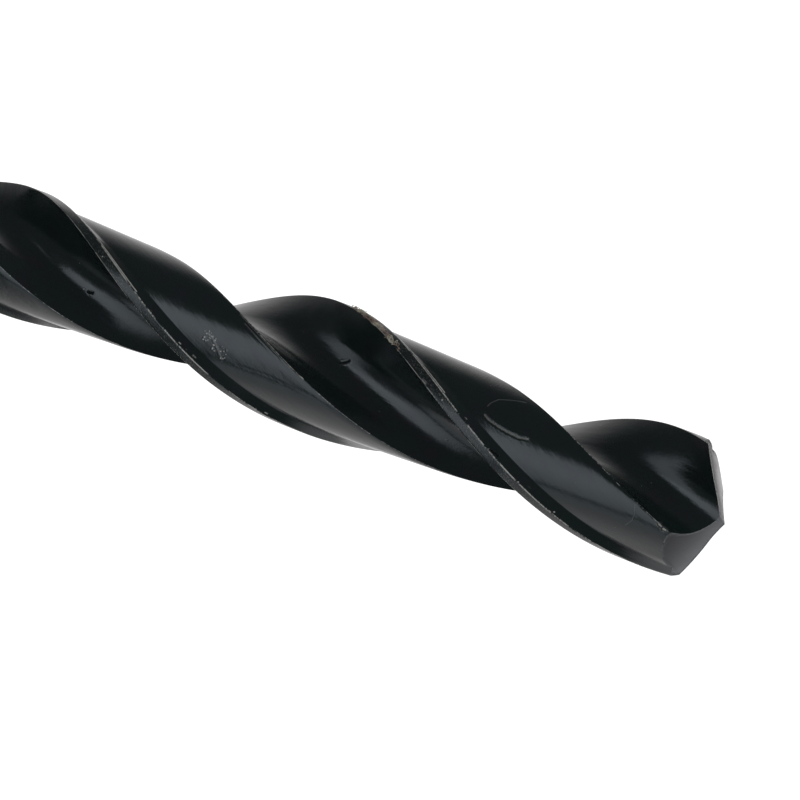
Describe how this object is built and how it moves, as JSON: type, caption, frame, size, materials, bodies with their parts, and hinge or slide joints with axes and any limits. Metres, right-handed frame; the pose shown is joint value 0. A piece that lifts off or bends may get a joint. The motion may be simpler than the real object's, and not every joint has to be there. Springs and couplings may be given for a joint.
{
  "type": "twist drill bit",
  "caption": "Right-hand twist drill with two helical flutes, lands with margins, a ground conical point and a plain parallel shank.",
  "frame": {"origin": "centre of the flat end face of the shank, which the drill stands on", "axes": "+Z along the drill's axis, from the shank to the point; +X along the first cutting lip, from the axis outward"},
  "size_m": [0.013, 0.013, 0.151],
  "materials": {
    "black_oxide_steel": "satin black oxide, steam tempered"
  },
  "bodies": {
    "root": {"twist_drill": "black_oxide_steel"}
  },
  "joints": []
}
